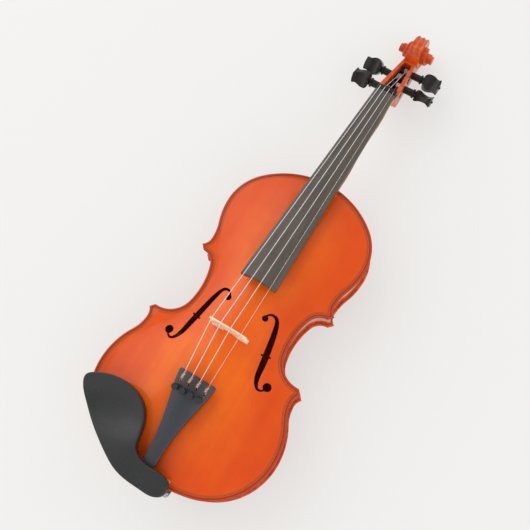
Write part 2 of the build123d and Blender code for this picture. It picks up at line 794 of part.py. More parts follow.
# ---- pegs and their windings -----------------------------------------------------------------------
peg_reach = 11.0           # cheek to collar
peg_end = 0.8              # far end beyond its cheek
thumb_long = 20.0
thumb_half = 10.0
thumb_thick = 11.0
thumb_waist = 5.2          # thickness between the two hollows
scoop_round = 13.0
winding_long = 4.2
winding_gap = 0.1          # the arriving string over the turns on the peg


def peg_seat(string):
    """The peg's own plane: y runs from its far end out to its thumb piece."""
    side = peg_side[string]
    along = peg_along[string]
    far_end = neck_plane.from_local_coords(
        Vector(-side * (cheek_outer(along) + peg_end), along, -peg_below[string])
    )
    turn = math.radians(peg_turn[string])
    across = neck_plane.y_dir * math.cos(turn) + neck_plane.z_dir * math.sin(turn)
    return Plane(origin=far_end, x_dir=across, z_dir=across.cross(Vector(side, 0, 0)))


def peg_radius(travel):
    """Radius of the taper, from the far end."""
    return peg_width / 2 + travel * peg_taper / 2


def peg_plug(seat, from_end, to_end, extra):
    """A tapered plug on the peg's axis, for the shank or for its hole."""
    with BuildPart() as plug:
        with BuildSketch(seat):
            Polygon(
                (0, from_end), (peg_radius(from_end) + extra, from_end),
                (peg_radius(to_end) + extra, to_end), (0, to_end), align=None,
            )
        revolve(axis=Axis(seat.origin, seat.y_dir))
    return plug.part


def build_peg(string):
    seat = peg_seat(string)
    collar = 2 * (cheek_outer(peg_along[string])) + peg_end + peg_reach
    thumb = collar + 4.4
    shank = peg_radius(collar)
    with BuildPart() as peg:
        with BuildSketch(seat):
            with BuildLine():
                Polyline(
                    (0, 0), (peg_radius(0) - 0.5, 0), (peg_radius(0), 0.5), (shank, collar),
                    (shank + 1.0, collar + 0.3), (shank + 1.3, collar + 0.7), (shank + 1.3, collar + 1.7),
                    (shank + 1.0, collar + 2.1),
                    (shank - 0.3, collar + 2.5), (shank - 0.8, thumb), (shank - 0.8, thumb + 3),
                    (0, thumb + 3), close=True,
                )
            make_face()
        revolve(axis=Axis(seat.origin, seat.y_dir))
        with BuildSketch(seat):
            with BuildLine():
                side_line = Spline(
                    (3.0, thumb - 0.6), (thumb_half * 0.86, thumb + 3.4), (thumb_half, thumb + 9.0),
                    (thumb_half * 0.72, thumb + 16.4), (0, thumb + thumb_long),
                    tangents=((1, 0.15), (-1, 0)),
                )
                Polyline(side_line @ 1, (0, thumb - 0.6), side_line @ 0)
            make_face()
            mirror(about=Plane.YZ)
        extrude(amount=thumb_thick / 2, both=True)
        for way in (-1, 1):
            centre = seat.from_local_coords(Vector(0, thumb + 11.0, way * (thumb_waist / 2 + scoop_round)))
            with BuildSketch(Plane(origin=centre, x_dir=seat.y_dir, z_dir=seat.x_dir)):
                Circle(scoop_round)
            extrude(amount=2 * thumb_half, both=True, mode=Mode.SUBTRACT)
        with BuildSketch(seat):
            with Locations((0, thumb + thumb_long)):
                Circle(1.6)
            with Locations((-2, thumb + thumb_long)):
                Rectangle(4, 4, mode=Mode.SUBTRACT)
        revolve(axis=Axis(seat.origin, seat.y_dir))
    peg.part.label = f"peg_{string}"
    return peg.part


winding_across = {"g": -3.6, "d": -2.2, "a": 2.2, "e": 3.6}


def build_winding(string):
    """The turns of a string round its peg, as one close ring."""
    seat = peg_seat(string)
    middle = abs(-peg_side[string] * (cheek_outer(peg_along[string]) + peg_end) - winding_across[string])
    with BuildPart() as winding:
        add(peg_plug(seat, middle - winding_long / 2, middle + winding_long / 2, string_width[string]))
        add(peg_plug(seat, middle - winding_long, middle + winding_long, 0), mode=Mode.SUBTRACT)
    winding.part.label = f"string_winding_{string}"
    return winding.part

# ---- neck and scroll in one piece -------------------------------------------------------------------
with BuildPart() as neck_and_scroll:
    add(neck_root)
    add(head.part)
    add(stretches)
    with BuildSketch(Plane(origin=side_plane.from_local_coords(Vector(*eye)), x_dir=side_plane.x_dir,
                           z_dir=side_plane.z_dir)):
        Circle(eye_radius)
    extrude(amount=ear_half + 0.4, both=True)
    add([box_hollow.part] + back_flutes, mode=Mode.SUBTRACT)
    for string in names:
        seat = peg_seat(string)
        add(peg_plug(seat, -3, 2 * cheek_outer(peg_along[string]) + 4, peg_fit), mode=Mode.SUBTRACT)

# ---- tailpiece with four built-in tuners -----------------------------------------------------------
# Its plane: y runs along it, 0 at the wide end and negative towards the end button.
tail_high = bridge_top - afterlength * math.tan(math.radians(string_slope))
tail_run = -afterlength - bottom - tail_end_gap
tail_fall = tail_high - top_edge - tail_end_up
tail_length = math.hypot(tail_run, tail_fall)
tail_plane = Plane(
    origin=(0, -afterlength, tail_high), x_dir=(1, 0, 0),
    z_dir=(0, -tail_fall / tail_length, tail_run / tail_length),
)
tail_front_plane = Plane(origin=tail_plane.origin, x_dir=(1, 0, 0), z_dir=-tail_plane.y_dir)
tail_side_plane = Plane(origin=tail_plane.origin, x_dir=tail_plane.y_dir, z_dir=(1, 0, 0))
tail_end_half = 7.0
gut_spread = 2.9
gut_below = 5.0            # tailgut under the tailpiece's top
hollow_long = tail_length - tail_solid
slot_long = 13.0
slot_width = 3.4
pin_half = 18.6            # half the pivot pin, its ends in the walls
string_across = {name: bridge_spacing * (index - 1.5) for index, name in enumerate(names)}
tail_across = {name: tail_spacing * (index - 1.5) for index, name in enumerate(names)}
nut_across = {name: nut_spacing * (index - 1.5) for index, name in enumerate(names)}


def in_tail(across, along, height):
    return tail_plane.from_local_coords(Vector(across, along, height))


def tail_shape(inward, length, nose):
    """The tailpiece from above, in its own plane, moved in by a margin, its end cut off at the corners."""
    wide = tail_end_width / 2 - inward
    with BuildSketch(tail_plane) as shape:
        with BuildLine():
            front = Line((0, -inward), (wide - 1.5, -inward))
            corner = TangentArc(front @ 1, (wide, -inward - 1.5), tangent=(1, 0))
            flank = Spline(
                corner @ 1, (15.0 - inward, -31), (9.8 - inward, -56),
                (tail_end_half - inward, nose - length), tangents=((-0.05, -1), (0, -1)),
            )
            Polyline(flank @ 1, (tail_end_half - inward - nose, -length), (0, -length), front @ 0)
        make_face()
        mirror(about=Plane.YZ)
    return shape.sketch


def tail_drop(across):
    """How far the arched top lies under its crown."""
    return tail_round - math.sqrt(tail_round**2 - across**2)


with BuildPart() as tail_hollow:
    add(tail_shape(tail_wall, hollow_long, 0.5))
    extrude(amount=-20)
    with BuildSketch(tail_front_plane):
        with Locations((0, -tail_round)):
            Circle(tail_round - tail_wall)
    extrude(amount=tail_length + 5, mode=Mode.INTERSECT)
with BuildPart() as tailpiece:
    add(tail_shape(0, tail_length, 2.5))
    extrude(amount=-20)
    with BuildSketch(tail_side_plane):
        Polygon(
            (5, 5), (5, -tail_low_wide), (-tail_length - 5, -tail_low_narrow), (-tail_length - 5, 5),
            align=None,
        )
    extrude(amount=tail_end_width, both=True, mode=Mode.INTERSECT)
    with BuildSketch(tail_front_plane):
        with Locations((0, -tail_round)):
            Circle(tail_round)
    extrude(amount=tail_length + 5, mode=Mode.INTERSECT)
    fillet(tailpiece.faces().sort_by(Axis.Z)[-1].edges(), 0.8)
    add(tail_hollow.part, mode=Mode.SUBTRACT)
    with BuildSketch(tail_plane):
        for string in names:
            with Locations((tail_across[string], -slot_long / 2)):
                Rectangle(slot_width, slot_long + 1)
            with Locations((tail_across[string], -tuner_back)):
                Circle(screw_width / 2 + peg_fit)
    extrude(amount=20, both=True, mode=Mode.SUBTRACT)
    with BuildSketch(tail_front_plane):
        with Locations((gut_spread, -gut_below), (-gut_spread, -gut_below)):
            Circle(gut_width / 2 + string_play)
    extrude(amount=tail_length + 5, mode=Mode.SUBTRACT)
    with BuildSketch(tail_side_plane):
        with Locations((-pivot_back, -pivot_below)):
            Circle(pivot_width / 2)
    extrude(amount=pin_half, both=True, mode=Mode.SUBTRACT)

# ---- tuners ----------------------------------------------------------------------------------------
# A screw turns in the tailpiece and presses on the long arm of a lever, whose short arm hooks the ball
# at the end of the string.
arm_reach = tuner_back - pivot_back
arm_thick = 1.4
hook_width = 2.6
hook_thick = 2.0
ball_width = 2.6
ball_long = 2.2
screw_gap = 0.1


def tuner_heights(string):
    """Top of the tailpiece and top of the lever's arm at a string, over the tailpiece's plane."""
    return -tail_drop(tail_across[string]), -pivot_below + arm_thick / 2


def tuner_plane(string, along, height):
    """A plane across the tailpiece's top, at one string."""
    place = in_tail(tail_across[string], along, height)
    return Plane(origin=place, x_dir=(1, 0, 0), z_dir=tail_plane.z_dir)


def build_lever(string):
    """An L: pivot eye, long arm under the screw, forked hook up through the slot."""
    surface, arm_top = tuner_heights(string)
    across = tail_across[string]
    lever_plane = Plane(
        origin=in_tail(across - hook_width / 2, -pivot_back, -pivot_below), x_dir=tail_plane.y_dir,
        z_dir=tail_plane.x_dir,
    )
    hook_top = surface + pivot_below - 0.3
    with BuildPart() as lever:
        with BuildSketch(lever_plane):
            Circle(pivot_width / 2 + 0.9)
            Polygon(
                (0, arm_thick / 2), (-arm_reach - 1.6, arm_thick / 2), (-arm_reach - 1.6, -arm_thick / 2),
                (0, -arm_thick / 2), align=None,
            )
            Polygon(
                (-hook_thick / 2, 0), (hook_thick / 2, 0), (hook_thick / 2, hook_top),
                (-hook_thick / 2, hook_top), align=None,
            )
            Circle(pivot_width / 2 + peg_fit, mode=Mode.SUBTRACT)
        extrude(amount=hook_width)
        with BuildSketch(tuner_plane(string, -pivot_back, hook_top - pivot_below + 0.1)):
            Rectangle(string_width[string] + 0.3, 2 * hook_thick)
        extrude(amount=-2.4, mode=Mode.SUBTRACT)
    lever.part.label = f"tuner_lever_{string}"
    return lever.part


def build_ball(string):
    """The ball at the string's end, held behind the hook."""
    surface, _ = tuner_heights(string)
    centre = in_tail(
        tail_across[string] - ball_long / 2, -pivot_back - hook_thick / 2 - ball_width / 2, surface - 1.5
    )
    with BuildPart() as ball:
        with BuildSketch(Plane(origin=centre, x_dir=tail_plane.y_dir, z_dir=tail_plane.x_dir)):
            Circle(ball_width / 2)
            Circle(ball_width / 5, mode=Mode.SUBTRACT)
        extrude(amount=ball_long)
    ball.part.label = f"string_ball_{string}"
    return ball.part


def build_screw(string):
    """The tuner's rod: round tip on the lever's arm, top inside the knob."""
    surface, arm_top = tuner_heights(string)
    foot = arm_top + screw_gap
    head = surface + knob_clear + knob_height - 1
    with BuildPart() as screw:
        with BuildSketch(tuner_plane(string, -tuner_back, foot)):
            Circle(screw_width / 2)
        extrude(amount=head - foot)
        fillet(screw.edges().group_by(Axis((0, 0, 0), tail_plane.z_dir))[0], screw_width / 2 - 0.2)
    screw.part.label = f"tuner_screw_{string}"
    return screw.part


def build_knob(string):
    """The knob on the rod, with a fluted rim."""
    surface, _ = tuner_heights(string)
    with BuildPart() as knob:
        with BuildSketch(tuner_plane(string, -tuner_back, surface + knob_clear)):
            Circle(knob_width / 2)
            with PolarLocations(knob_width / 2 + 0.15, 14):
                Circle(0.45, mode=Mode.SUBTRACT)
        extrude(amount=knob_height)
        with BuildSketch(tuner_plane(string, -tuner_back, surface + knob_clear)):
            Circle(screw_width / 2 + 0.02)
        extrude(amount=knob_height - 1, mode=Mode.SUBTRACT)
    knob.part.label = f"tuner_knob_{string}"
    return knob.part


with BuildPart() as tuner_pivot:
    with BuildSketch(tail_side_plane):
        with Locations((-pivot_back, -pivot_below)):
            Circle(pivot_width / 2)
    extrude(amount=pin_half, both=True)

# ---- saddle ----------------------------------------------------------------------------------------
saddle_top = top_glue + saddle_height
with BuildPart() as saddle:
    with BuildSketch(Plane.YZ):
        with BuildLine():
            Polyline(
                (bottom + saddle_long, top_glue), (bottom, top_glue), (bottom, saddle_top - 2.5),
            )
            ThreePointArc(
                (bottom, saddle_top - 2.5), (bottom + 0.73, saddle_top - 0.73), (bottom + 2.5, saddle_top)
            )
            Polyline(
                (bottom + 2.5, saddle_top), (bottom + 4.5, saddle_top),
                (bottom + saddle_long, top_edge + 0.6), (bottom + saddle_long, top_glue),
            )
        make_face()
    extrude(amount=saddle_width / 2, both=True)

# ---- end button ------------------------------------------------------------------------------------
rib_face = bottom + overhang
button_axis = Axis((0, 0, button_up), (0, -1, 0))
button_plane = Plane(origin=(0, rib_face, button_up), x_dir=(1, 0, 0), z_dir=(0, 0, 1))
collar_long = 3.0
groove_long = 4.2
button_long = 13.7          # rib to the end of the head
with BuildPart() as end_button:
    with BuildSketch(button_plane):
        with BuildLine():
            Polyline(
                (0, end_block_depth - 1), (button_shank / 2 - 0.4, end_block_depth - 1),
                (button_shank / 2, 0), (button_collar / 2, 0), (button_collar / 2, -collar_long + 0.8),
                (button_neck / 2, -collar_long), (button_neck / 2, -collar_long - groove_long),
                (button_head / 2 - 0.7, -collar_long - groove_long),
                (button_head / 2, -collar_long - groove_long - 0.7),
                (button_head / 2, 1.8 - button_long), (button_head / 2 - 1.0, 0.7 - button_long),
                (button_head / 2 - 3.0, -button_long), (0, -button_long), close=True,
            )
        make_face()
    revolve(axis=button_axis)

# ---- tailgut, from nut to nut round the button -----------------------------------------------------
gut_half = button_neck / 2 + gut_width / 2 + 0.05
gut_y = rib_face - collar_long - groove_long / 2
saddle_bend = 2.5 + gut_width / 2 + 0.1
gut_side = [
    in_tail(gut_spread, -hollow_long + 4, -gut_below),
    in_tail(gut_spread, -tail_length - 1, -gut_below),
    Vector(gut_half - 0.2, bottom + 2.5 - saddle_bend, saddle_top - 2.5 + saddle_bend),
    Vector(gut_half, gut_y, button_up - gut_half),
]
gut_route = gut_side + [Vector(-point.X, point.Y, point.Z) for point in reversed(gut_side)]
with BuildPart() as tailgut:
    with BuildLine() as gut_line:
        side_bends = [6, saddle_bend - 0.1, gut_half - 0.05]
        FilletPolyline(*gut_route, radius=side_bends + side_bends[::-1])
    with BuildSketch(gut_line.line ^ 0):
        Circle(gut_width / 2)
    sweep()
with BuildPart() as tailgut_nuts:
    with BuildSketch(tail_front_plane):
        with Locations((gut_spread, -gut_below), (-gut_spread, -gut_below)):
            Circle(gut_nut_width / 2)
            Circle(gut_width / 2, mode=Mode.SUBTRACT)
    extrude(amount=hollow_long)
    with BuildSketch(tail_front_plane):
        Rectangle(tail_end_width, tail_end_width)
    extrude(amount=hollow_long - 3, mode=Mode.SUBTRACT)

# ---- strings, each from its hook over bridge and nut to its winding --------------------------------


def string_route(string):
    surface, _ = tuner_heights(string)
    width = string_width[string]
    across = string_across[string]
    nut_x = nut_across[string]
    nut_crown = board_edge - math.sqrt(board_round**2 - (nut_width / 2)**2)
    nut_top = nut_crown + math.sqrt((board_round + nut_rise)**2 - nut_x**2)
    nut_point = Vector(nut_long * 0.6, nut_top)
    peg_centre = Vector(peg_along[string], -peg_below[string])
    lead = nut_point - peg_centre
    coil = peg_radius(2 * cheek_inside[0]) + 1.5 * width + winding_gap
    angle = math.atan2(lead.Y, lead.X) - math.acos(coil / lead.length)
    touch = peg_centre + Vector(math.cos(angle), math.sin(angle)) * coil
    return (
        in_tail(tail_across[string], -pivot_back + 0.6, surface - 1.2),
        Vector(across, 0, crown_centre + math.sqrt(board_round**2 - across**2)),
        neck_plane.from_local_coords(Vector(nut_x, nut_point.X, nut_point.Y)),
        neck_plane.from_local_coords(Vector(winding_across[string], touch.X, touch.Y)),
    )


def build_string(string, width, name):
    with BuildPart() as cord:
        with BuildLine() as route:
            FilletPolyline(*string_route(string), radius=[3, 2])
        with BuildSketch(route.line ^ 0):
            Circle(width / 2)
        sweep()
    cord.part.label = f"{name}_{string}"
    return cord.part


strings = [build_string(name, string_width[name], "string") for name in names]
string_room = [build_string(name, string_width[name] + 2 * string_play, "room") for name in names]

# ---- chin rest -------------------------------------------------------------------------------------
rest_low = top_glue + rest_floor
tunnel_top = rest_low + 6.3    # space over the tailgut
post_y = bottom - post_back
post_places = ((-post_spread, post_y), (post_spread, post_y))
post_sunk = 4.0
cup_centre = at(-62, 39)
cup_half = (36.0, 22.0)
cup_floor = rest_low + 4.5
cup_rise = 9.5
rest_points = [
    at(across, up) for across, up in (
        (-19, 24), (-22, 37), (-28, 51), (-40, 62), (-58, 67.5), (-76, 66), (-92, 60), (-100.5, 52),
        (-98, 43), (-88, 32), (-73, 20), (-56, 9), (-39, -1), (-24, -7.8), (-8, -10.6), (8, -11),
        (21, -10), (29, -4), (29, 6), (21, 11.5), (8, 12), (-8, 13.5),
    )
]


def cup_height(x, y):
    """Top of the rest: a dished cup whose rim falls away towards the tail."""
    reach = math.hypot((x - cup_centre[0]) / cup_half[0], (y - cup_centre[1]) / cup_half[1])
    rim = cup_rise + 0.09 * (y - cup_centre[1]) - 0.05 * max(0.0, x + 20)
    return cup_floor + rim * (1 - math.exp(-reach**3))


rest_grid = [
    [(x, y, cup_height(x, y)) for y in (bottom - 16 + 4.2 * row for row in range(22))]
    for x in (-110 + 7 * column for column in range(22))
]
above_rest = Solid.extrude(Face.make_surface_from_array_of_points(rest_grid, tol=0.05), Vector(0, 0, 40))
with BuildPart() as chinrest_plate:
    with BuildSketch(Plane.XY.offset(rest_low)):
        with BuildLine():
            Spline(*rest_points, periodic=True)
        make_face()
    extrude(amount=30)
    add(above_rest, mode=Mode.SUBTRACT)
    top_rim = chinrest_plate.edges().filter_by(lambda edge: edge.center().Z > rest_low + 6)
    fillet(top_rim, 1.5)
    fillet(chinrest_plate.edges().group_by(Axis.Z)[0], 2.0)
    with BuildSketch(Plane.XZ.offset(-bottom - 20)):
        with BuildLine():
            Polyline((13, rest_low - 1), (13, rest_low + 2.5))
            ThreePointArc((13, rest_low + 2.5), (0, tunnel_top), (-13, rest_low + 2.5))
            Polyline((-13, rest_low + 2.5), (-13, rest_low - 1), (13, rest_low - 1))
        make_face()
    extrude(amount=60, mode=Mode.SUBTRACT)
    with BuildSketch(Plane.XY.offset(rest_low)):
        with Locations(*post_places):
            Circle(post_width / 2)
    extrude(amount=post_sunk, mode=Mode.SUBTRACT)

# cork between the rest and the edge of the top, on both sides of the saddle
with BuildPart() as chinrest_cork:
    add(slab(inset(edge_round + 0.2), top_glue, rest_low))
    add(slab(inset(cork_width), top_glue, rest_low), mode=Mode.SUBTRACT)
    with BuildSketch(Plane.XY.offset(top_glue)):
        with Locations((-38, bottom)):
            Rectangle(28, 40)
        with Locations((saddle_width / 2 + 4.6, bottom)):
            Rectangle(8, 40)
    extrude(amount=20, mode=Mode.INTERSECT)
    add(top_blank.part, mode=Mode.SUBTRACT)

# the clamp: posts in the rest, turning barrels, and a foot under the back's edge
barrel_low = button_up - barrel_long / 2
barrel_high = button_up + barrel_long / 2
with BuildPart() as chinrest_posts:
    with BuildSketch(Plane.XY.offset(barrel_high - post_grip)):
        with Locations(*post_places):
            Circle(post_width / 2)
    extrude(amount=rest_low + post_sunk - barrel_high + post_grip)
    with BuildSketch(Plane.XY.offset(rest_low - 1.2)):
        with Locations(*post_places):
            Circle(barrel_width / 2 + 0.6)
    extrude(amount=1.2)
barrels = []
for index, place in enumerate(post_places):
    with BuildPart() as barrel:
        with BuildSketch(Plane.XY.offset(barrel_low)):
            with Locations(place):
                Circle(barrel_width / 2)
        extrude(amount=barrel_long)
        chamfer(barrel.edges().filter_by(GeomType.CIRCLE), 0.6)
        with BuildSketch(Plane.XY.offset(barrel_low)):
            with Locations(place):
                Circle(post_width / 2 + peg_fit)
        extrude(amount=barrel_long, mode=Mode.SUBTRACT)
        with BuildSketch(Plane.XZ.offset(-place[1] - barrel_width)):
            with Locations((place[0], button_up)):
                Circle(1.1)
        extrude(amount=2 * barrel_width, mode=Mode.SUBTRACT)
    barrel.part.label = f"chinrest_barrel_{index + 1}"
    barrels.append(barrel.part)
foot_top = back_glue - edge_thick - foot_gap - cork_thick
with BuildPart() as chinrest_foot:
    with BuildSketch(Plane.XY.offset(foot_top - foot_thick)):
        with Locations((0, post_y + foot_long / 2 - 4)):
            RectangleRounded(2 * post_spread + 9, foot_long, 4)
    extrude(amount=foot_thick)
    with BuildSketch(Plane.XY.offset(foot_top)):
        with Locations(*post_places):
            Circle(post_width / 2)
    extrude(amount=barrel_low + post_grip - foot_top)
with BuildPart() as chinrest_foot_cork:
    with BuildSketch(Plane.XY.offset(foot_top)):
        with Locations((0, bottom + edge_round + 5)):
            RectangleRounded(2 * post_spread + 4, 9, 1.5)
    extrude(amount=cork_thick)

# ---- notches, labels and files ---------------------------------------------------------------------
with BuildPart() as notched_bridge:
    add(bridge.part)
    add(string_room, mode=Mode.SUBTRACT)
with BuildPart() as notched_nut:
    add(nut.part)
    add(string_room, mode=Mode.SUBTRACT)

whole_pieces = {
    "top_plate": top_plate, "back_plate": back_plate, "purfling": purfling, "linings": linings,
    "top_block": top_block, "bottom_block": bottom_block, "corner_blocks": corner_blocks,
    "bass_bar": bass_bar, "sound_post": sound_post, "neck_and_scroll": neck_and_scroll,
    "fingerboard": fingerboard, "nut": notched_nut, "bridge": notched_bridge, "tailpiece": tailpiece,
    "tuner_pivot_pin": tuner_pivot, "saddle": saddle, "end_button": end_button, "tailgut": tailgut,
    "tailgut_nuts": tailgut_nuts, "chinrest_plate": chinrest_plate, "chinrest_cork": chinrest_cork,
    "chinrest_posts": chinrest_posts, "chinrest_foot": chinrest_foot,
    "chinrest_foot_cork": chinrest_foot_cork,
}
for label, piece in whole_pieces.items():
    piece.part.label = label
pieces = [piece.part for piece in whole_pieces.values()] + ribs + barrels + strings
for build_one in (build_peg, build_winding, build_lever, build_ball, build_screw, build_knob):
    pieces += [build_one(string) for string in names]
os.makedirs("parts", exist_ok=True)
for piece in pieces:
    export_step(piece, f"parts/{piece.label}.step")
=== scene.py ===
import math

import bpy
from mathutils import Matrix, Vector


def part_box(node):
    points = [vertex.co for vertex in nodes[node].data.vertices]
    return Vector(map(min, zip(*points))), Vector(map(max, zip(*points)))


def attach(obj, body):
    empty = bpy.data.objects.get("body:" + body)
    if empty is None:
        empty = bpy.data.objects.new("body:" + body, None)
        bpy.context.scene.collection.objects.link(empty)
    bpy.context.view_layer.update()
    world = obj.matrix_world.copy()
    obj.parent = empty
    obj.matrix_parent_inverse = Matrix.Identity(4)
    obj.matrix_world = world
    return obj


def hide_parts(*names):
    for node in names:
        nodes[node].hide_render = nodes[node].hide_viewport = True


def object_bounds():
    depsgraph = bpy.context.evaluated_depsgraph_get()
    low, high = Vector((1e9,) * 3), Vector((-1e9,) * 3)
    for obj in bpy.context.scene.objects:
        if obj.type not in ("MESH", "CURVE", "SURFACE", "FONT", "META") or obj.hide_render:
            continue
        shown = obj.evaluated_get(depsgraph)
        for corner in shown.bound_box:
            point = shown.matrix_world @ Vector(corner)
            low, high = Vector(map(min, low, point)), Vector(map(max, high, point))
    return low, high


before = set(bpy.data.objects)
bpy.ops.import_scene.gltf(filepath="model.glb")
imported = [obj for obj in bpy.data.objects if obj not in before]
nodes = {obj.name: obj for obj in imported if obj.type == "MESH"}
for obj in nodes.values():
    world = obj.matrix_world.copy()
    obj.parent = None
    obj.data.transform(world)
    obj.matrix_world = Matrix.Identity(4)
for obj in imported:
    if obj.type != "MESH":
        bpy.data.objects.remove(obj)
cad_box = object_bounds()

# Metres, in the part's own frame: +Y runs from the end button to the scroll and +Z out of the belly.
RIM = 0.049             # height of the top plate's flat rim
BAND_PERIOD = 0.314     # a band texture repeats after this at scale 1


# ---- materials ------------------------------------------------------------------------------------
class Finish:
    """A Principled material that is built up node by node."""

    def __init__(self, name, **settings):
        self.material = bpy.data.materials.new(name)
        self.material.use_nodes = True
        self.tree = self.material.node_tree
        self.shader = self.tree.nodes["Principled BSDF"]
        for socket, value in settings.items():
            self.shader.inputs[socket.replace("_", " ")].default_value = value
        self.place = self.node("ShaderNodeTexCoord").outputs["Object"]

    def node(self, kind, inputs=None, **properties):
        """A new node. An input is a number, a colour or another node's output."""
        made = self.tree.nodes.new(kind)
        for name, value in properties.items():
            setattr(made, name, value)
        for name, value in (inputs or {}).items():
            if isinstance(value, bpy.types.NodeSocket):
                self.tree.links.new(value, made.inputs[name])
            else:
                made.inputs[name].default_value = value
        return made

    def set(self, socket, value):
        """Feed one of the material's own inputs."""
        self.tree.links.new(value, self.shader.inputs[socket])

    def math(self, operation, a, b=0.0, slack=0.0):
        return self.node("ShaderNodeMath", {0: a, 1: b, 2: slack}, operation=operation).outputs[0]

    def stretched(self, scale, place=None):
        """Coordinates squeezed or stretched along each axis."""
        return self.node("ShaderNodeMapping", {"Vector": place or self.place, "Scale": scale}).outputs[0]

    def noise(self, place, scale, detail=3.0, roughness=0.55, distortion=0.0):
        inputs = {"Vector": place, "Scale": scale, "Detail": detail, "Roughness": roughness,
                  "Distortion": distortion}
        return self.node("ShaderNodeTexNoise", inputs).outputs["Fac"]

    def bands(self, place, scale, distortion=0.0, axis="X"):
        """Stripes that follow each other along an axis."""
        inputs = {"Vector": place, "Scale": scale, "Distortion": distortion, "Detail": 2.0}
        return self.node("ShaderNodeTexWave", inputs, bands_direction=axis).outputs["Fac"]

    def ramp(self, value, *stops):
        """A colour ramp through (position, colour or grey) stops."""
        made = self.node("ShaderNodeValToRGB", {"Fac": value})
        points = made.color_ramp.elements
        while len(points) < len(stops):
            points.new(0.5)
        for point, (position, colour) in zip(points, stops):
            point.position = position
            colour = (colour,) * 3 if isinstance(colour, (int, float)) else colour
            point.color = (*colour, 1)
        return made.outputs["Color"]

    def mix(self, share, a, b):
        """Colour a where the share is 0, b where it is 1."""
        made = self.node("ShaderNodeMix", data_type="RGBA")
        for socket, value in ((0, share), (6, a), (7, b)):
            if isinstance(value, bpy.types.NodeSocket):
                self.tree.links.new(value, made.inputs[socket])
            elif socket:
                made.inputs[socket].default_value = (*value, 1)
            else:
                made.inputs[socket].default_value = value
        return made.outputs[2]

    def part(self, axis, place=None):
        """One coordinate of a place or direction."""
        split = self.node("ShaderNodeSeparateXYZ", {0: place or self.place})
        return split.outputs["XYZ".index(axis)]

    def between(self, value, low, high):
        """0 where the value is at low, 1 where it is at high."""
        inputs = {"Value": value, "From Min": low, "From Max": high}
        return self.node("ShaderNodeMapRange", inputs, interpolation_type="SMOOTHSTEP").outputs[0]

    def spread(self, value, low, high):
        """low where the value is 0, high where it is 1."""
        return self.node("ShaderNodeMapRange", {"Value": value, "To Min": low, "To Max": high}).outputs[0]

    def along(self, axis):
        """Distance along an axis, as coordinates whose X is that distance."""
        made = self.node("ShaderNodeVectorMath", {0: self.place, 1: axis}, operation="DOT_PRODUCT")
        return self.node("ShaderNodeCombineXYZ", {"X": made.outputs["Value"]}).outputs[0]

    def near_edge(self, width, low=0.01, high=0.08):
        """1 on the sharp edges of a piece, fading out over a width. low and high say how far the
        rounded surface leans away from the true one where the mask starts and where it is full."""
        rounded = self.node("ShaderNodeBevel", {"Radius": width}, samples=6).outputs[0]
        true = self.node("ShaderNodeNewGeometry").outputs["Normal"]
        turned = self.node("ShaderNodeVectorMath", {0: rounded, 1: true}, operation="DOT_PRODUCT")
        return self.between(turned.outputs["Value"], 1 - low, 1 - high)

    def bump(self, height, distance):
        made = self.node("ShaderNodeBump", {"Height": height, "Strength": 1.0, "Distance": distance})
        self.set("Normal", made.outputs[0])


def orange_varnish(name, coat, bend=1.5):
    """Clear, glossy coat over stained wood. A higher bend makes it paler at a grazing angle."""
    return Finish(name, Roughness=0.45, Specular_IOR_Level=0.08, Coat_Weight=coat, Coat_Roughness=0.08,
                  Coat_IOR=bend)


def patchy(finish, colour, dark, share):
    """Varnish that lies thicker in some places."""
    clouds = finish.noise(finish.place, 13.0, detail=4.0, roughness=0.6)
    thick = finish.ramp(clouds, (0.42, 0.0), (0.74, share))
    return finish.mix(thick, colour, dark)


def spruce():
    """Straight-grained top, yellower on the arch and darker on its flat rim, with painted shade where its
    edge turns down and on the upright sides of its cuts.
    """
    f = orange_varnish("spruce_varnish", 0.55)
    drift = f.noise(f.stretched((30, 3, 10)), 1.0, detail=2.0)
    across = f.math("ADD", f.part("X"), f.math("MULTIPLY", drift, 0.006))
    lines = f.node("ShaderNodeCombineXYZ", {"X": across}).outputs[0]
    fine = f.bands(lines, 260.0, 0.8)
    broad = f.noise(f.stretched((90, 2.2, 20)), 1.0, detail=3.0)
    high = f.between(f.part("Z"), RIM - 0.0006, RIM + 0.0085)
    ground = f.mix(high, (0.83, 0.098, 0.003), (0.97, 0.170, 0.005))
    grain = f.mix(f.ramp(fine, (0.1, 0.0), (0.95, 0.26)), ground, (0.68, 0.060, 0.003))
    grain = f.mix(f.ramp(broad, (0.35, 0.0), (0.75, 0.30)), grain, (0.66, 0.058, 0.003))
    colour = patchy(f, grain, (0.68, 0.044, 0.002), 0.55)
    upright = f.part("Z", f.node("ShaderNodeNewGeometry").outputs["Normal"])
    # darker flat rim, and painted shade where the plate's edge turns down from it
    at_rim = f.math("COMPARE", f.part("Z"), RIM, slack=0.00004)
    flat = f.math("MULTIPLY", at_rim, f.between(upright, 0.9990, 0.9998))
    below = f.between(f.part("Z"), RIM + 0.0006, RIM + 0.0001)
    turned = f.math("MULTIPLY", below, f.between(upright, 0.975, 0.950))
    dark_rim_and_painted_shade = f.math("MAXIMUM", flat, turned)
    colour = f.mix(f.math("MULTIPLY", dark_rim_and_painted_shade, 0.78), colour, (0.27, 0.020, 0.003))
    # painted shade: upright faces, on the plate's edge and the sides of its cuts, are darkened
    side = f.between(upright, 0.75, 0.25)
    colour = f.mix(f.math("MULTIPLY", side, 0.80), colour, (0.13, 0.014, 0.005))
    f.set("Base Color", colour)
    f.bump(fine, 0.00003)
    return f.material


